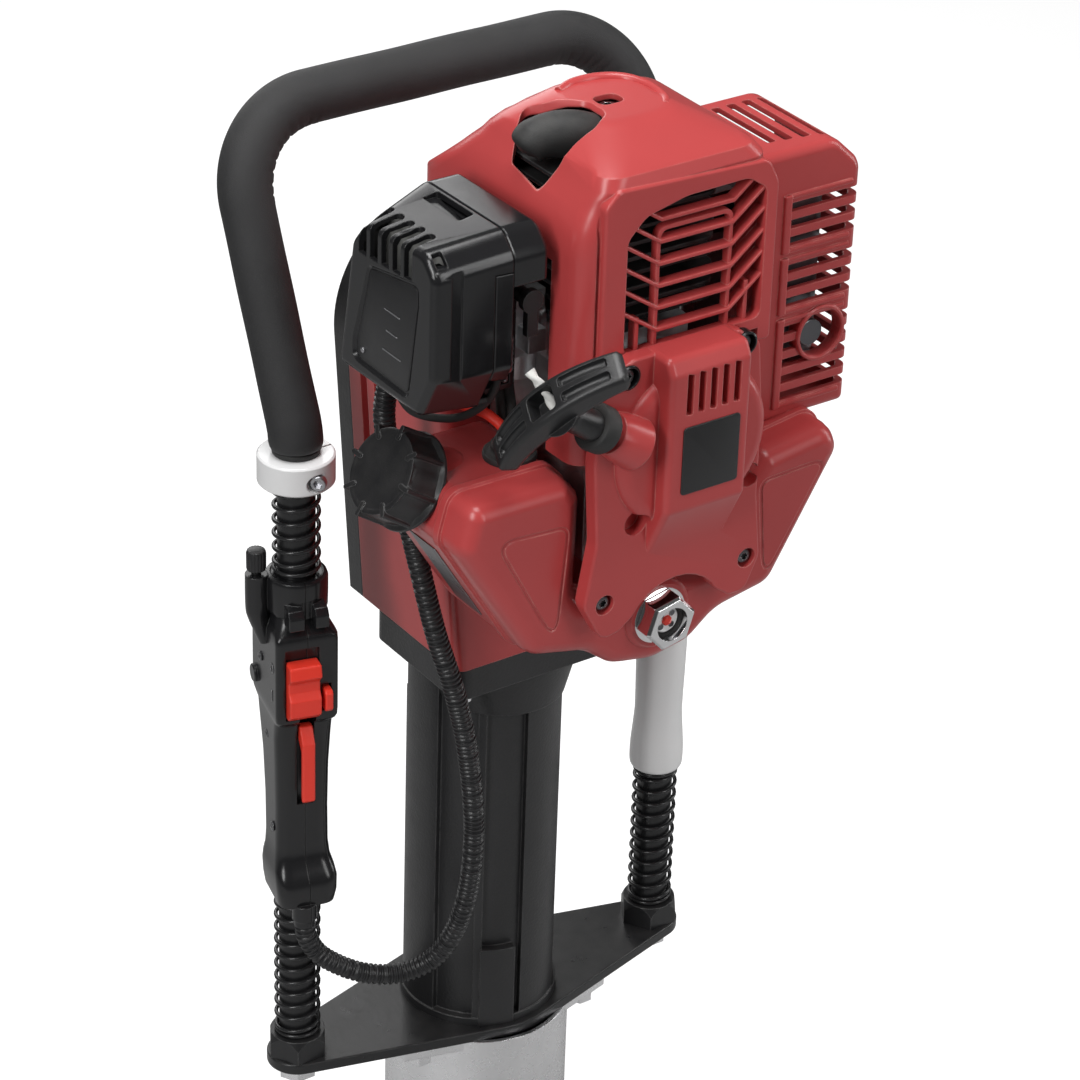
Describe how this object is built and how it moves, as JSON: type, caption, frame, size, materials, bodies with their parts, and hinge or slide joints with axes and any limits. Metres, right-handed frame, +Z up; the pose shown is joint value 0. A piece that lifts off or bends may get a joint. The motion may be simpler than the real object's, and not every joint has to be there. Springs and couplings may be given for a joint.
{
  "type": "petrol post driver",
  "caption": "Petrol post driver: red housings over a black air-hammer cylinder, bail handle with foam grip, sprung side grips and a steel post sleeve.",
  "frame": {"origin": "centre of the driving sleeve's open lower end", "axes": "+Z up along the percussion axis, from the sleeve to the bail handle; +X from the throttle grip to the plain grip; -Y towards the recoil starter"},
  "size_m": [0.2863, 0.2825, 0.7603],
  "materials": {
    "red_plastic": "satin",
    "black_plastic": "matte",
    "gloss_black": "gloss",
    "bright_red": "satin",
    "black_paint": "satin",
    "black_casting": "satin",
    "white_paint": "gloss",
    "bright_steel": "brushed",
    "machined_steel": "machined",
    "dark_steel": "blackened",
    "chrome_trim": "polished",
    "bare_aluminium": "as cast",
    "bronze_bush": "machined",
    "black_rubber": "matte",
    "foam_rubber": "matte",
    "conduit_rubber": "satin",
    "black_spring": "satin",
    "filter_foam": "matte",
    "white_cord": "woven"
  },
  "bodies": {
    "frame": {"driving_sleeve": "bright_steel", "handle_plate": "black_paint", "plate_bolts": "bright_steel", "leg_nuts": "black_paint", "cylinder_housing": "black_casting", "cylinder_liner": "machined_steel", "anvil_bush": "bronze_bush", "ball_bearings": "machined_steel", "gearbox_housing": "red_plastic", "gearbox_cover": "black_casting", "crankcase": "bare_aluminium", "engine_cylinder": "black_casting", "spark_plug": "machined_steel", "spark_plug_cap": "black_rubber", "carburettor": "bare_aluminium", "muffler": "dark_steel", "engine_shroud": "red_plastic", "starter_housing": "red_plastic", "recoil_spring": "machined_steel", "starter_rope": "white_cord", "air_filter_base": "gloss_black", "filter_element": "filter_foam", "muffler_cover": "red_plastic", "fuel_tank": "red_plastic", "fuel_lines": "black_rubber", "sight_glass": "chrome_trim", "handle_tube": "black_paint", "foam_grip": "foam_rubber", "handle_collars": "white_paint", "upper_left_spring": "black_spring", "upper_right_spring": "black_spring", "lower_left_spring": "black_spring", "lower_right_spring": "black_spring", "cable_conduit": "conduit_rubber", "socket_screws": "dark_steel"},
    "left_grip": {"throttle_grip_outer": "gloss_black", "throttle_grip_inner": "gloss_black"},
    "trigger": {"throttle_trigger": "black_plastic"},
    "lockout": {"lockout_lever": "bright_red"},
    "switch": {"stop_switch": "bright_red"},
    "button": {"lock_button": "bright_red"},
    "knob": {"adjuster_knob": "black_plastic"},
    "right_handle_grip": {"right_grip": "white_paint"},
    "pull_handle": {"starter_handle": "black_plastic"},
    "reel": {"starter_reel": "black_plastic"},
    "cap_seal": {"fuel_cap_seal": "black_rubber"},
    "cap": {"fuel_cap": "black_plastic"},
    "filter_cover": {"air_filter_cover": "black_plastic"},
    "choke": {"choke_lever": "black_plastic"},
    "engine_crank": {"crankshaft": "machined_steel", "flywheel_fan": "bare_aluminium", "clutch_shoes": "machined_steel"},
    "clutch_output": {"clutch_drum": "machined_steel", "drive_pinion": "machined_steel"},
    "gear": {"crank_gear": "machined_steel"},
    "rod": {"connecting_rod": "bare_aluminium"},
    "small_piston": {"engine_piston": "bare_aluminium"},
    "air_piston": {"drive_piston": "bare_aluminium"},
    "striker_body": {"striker": "machined_steel"},
    "anvil_body": {"anvil": "machined_steel"}
  },
  "joints": [
    {"name": "left_grip_slide", "type": "slide", "parent": "frame", "child": "left_grip", "axis": [0, 0, 1], "range_m": [-0.01, 0.01], "stiffness_N_per_m": 4000, "deforming": ["upper_left_spring", "lower_left_spring", "cable_conduit"]},
    {"name": "right_grip_slide", "type": "slide", "parent": "frame", "child": "right_handle_grip", "axis": [0, 0, 1], "range_m": [-0.01, 0.01], "stiffness_N_per_m": 4000, "deforming": ["upper_right_spring", "lower_right_spring"]},
    {"name": "trigger_pull", "type": "hinge", "parent": "left_grip", "child": "trigger", "pos_m": [-0.1154, 0.01844, 0.397], "axis": [-0.9703, 0.2419, 0], "range_deg": [0, 6]},
    {"name": "lockout_press", "type": "hinge", "parent": "left_grip", "child": "lockout", "pos_m": [-0.12351, -0.01407, 0.398], "axis": [0.9703, -0.2419, 0], "range_deg": [0, 8]},
    {"name": "stop_switch_slide", "type": "slide", "parent": "left_grip", "child": "switch", "axis": [0, 0, 1], "range_m": [0, 0.006]},
    {"name": "lock_button_press", "type": "slide", "parent": "left_grip", "child": "button", "axis": [0.2419, 0.9703, 0], "range_m": [0, 0.003]},
    {"name": "adjuster_turn", "type": "hinge", "parent": "left_grip", "child": "knob", "pos_m": [-0.13989, 0.00702, 0.494], "axis": [0, 0, 1], "range_deg": [-180, 180]},
    {"name": "starter_pull", "type": "slide", "parent": "frame", "child": "pull_handle", "axis": [-0.83, 0, 0.5578], "range_m": [0, 0.45], "deforming": ["starter_rope"]},
    {"name": "starter_reel_spin", "type": "hinge", "parent": "frame", "child": "reel", "pos_m": [0, -0.162, 0.6], "axis": [0, 1, 0], "continuous": true},
    {"name": "fuel_cap_lift", "type": "slide", "parent": "frame", "child": "cap_seal", "axis": [-0.84, 0, 0.5426], "range_m": [0, 0.02]},
    {"name": "fuel_cap_turn", "type": "hinge", "parent": "cap_seal", "child": "cap", "pos_m": [-0.113, -0.096, 0.581], "axis": [-0.84, 0, 0.5426], "range_deg": [0, 180]},
    {"name": "filter_cover_pull", "type": "slide", "parent": "frame", "child": "filter_cover", "axis": [-1, 0, 0], "range_m": [0, 0.06]},
    {"name": "choke_turn", "type": "hinge", "parent": "frame", "child": "choke", "pos_m": [-0.07, -0.124, 0.684], "axis": [0, 1, 0], "range_deg": [-20, 20]},
    {"name": "crankshaft_spin", "type": "hinge", "parent": "frame", "child": "engine_crank", "pos_m": [0, -0.09, 0.6], "axis": [0, 1, 0], "continuous": true},
    {"name": "clutch_spin", "type": "hinge", "parent": "frame", "child": "clutch_output", "pos_m": [0, -0.026, 0.6], "axis": [0, 1, 0], "continuous": true},
    {"name": "crank_gear_spin", "type": "hinge", "parent": "frame", "child": "gear", "pos_m": [0, 0.016, 0.545], "axis": [0, 1, 0], "continuous": true},
    {"name": "connecting_rod_swing", "type": "hinge", "parent": "gear", "child": "rod", "pos_m": [0, 0, 0.533], "axis": [0, 1, 0], "continuous": true},
    {"name": "engine_piston_slide", "type": "slide", "parent": "frame", "child": "small_piston", "axis": [0, 0, 1], "range_m": [0, 0.026]},
    {"name": "drive_piston_slide", "type": "slide", "parent": "frame", "child": "air_piston", "axis": [0, 0, 1], "range_m": [0, 0.024]},
    {"name": "striker_slide", "type": "slide", "parent": "frame", "child": "striker_body", "axis": [0, 0, 1], "range_m": [-0.022, 0.018]},
    {"name": "anvil_slide", "type": "slide", "parent": "frame", "child": "anvil_body", "axis": [0, 0, 1], "range_m": [-0.003, 0.004]}
  ],
  "couplings": [
    {"joint": "starter_reel_spin", "follows": "starter_pull", "rad_per_m": 38.462},
    {"joint": "clutch_spin", "follows": "crankshaft_spin", "ratio": 1},
    {"joint": "crank_gear_spin", "follows": "crankshaft_spin", "ratio": -0.25},
    {"joint": "connecting_rod_swing", "follows": "crankshaft_spin", "ratio": 0.25}
  ]
}
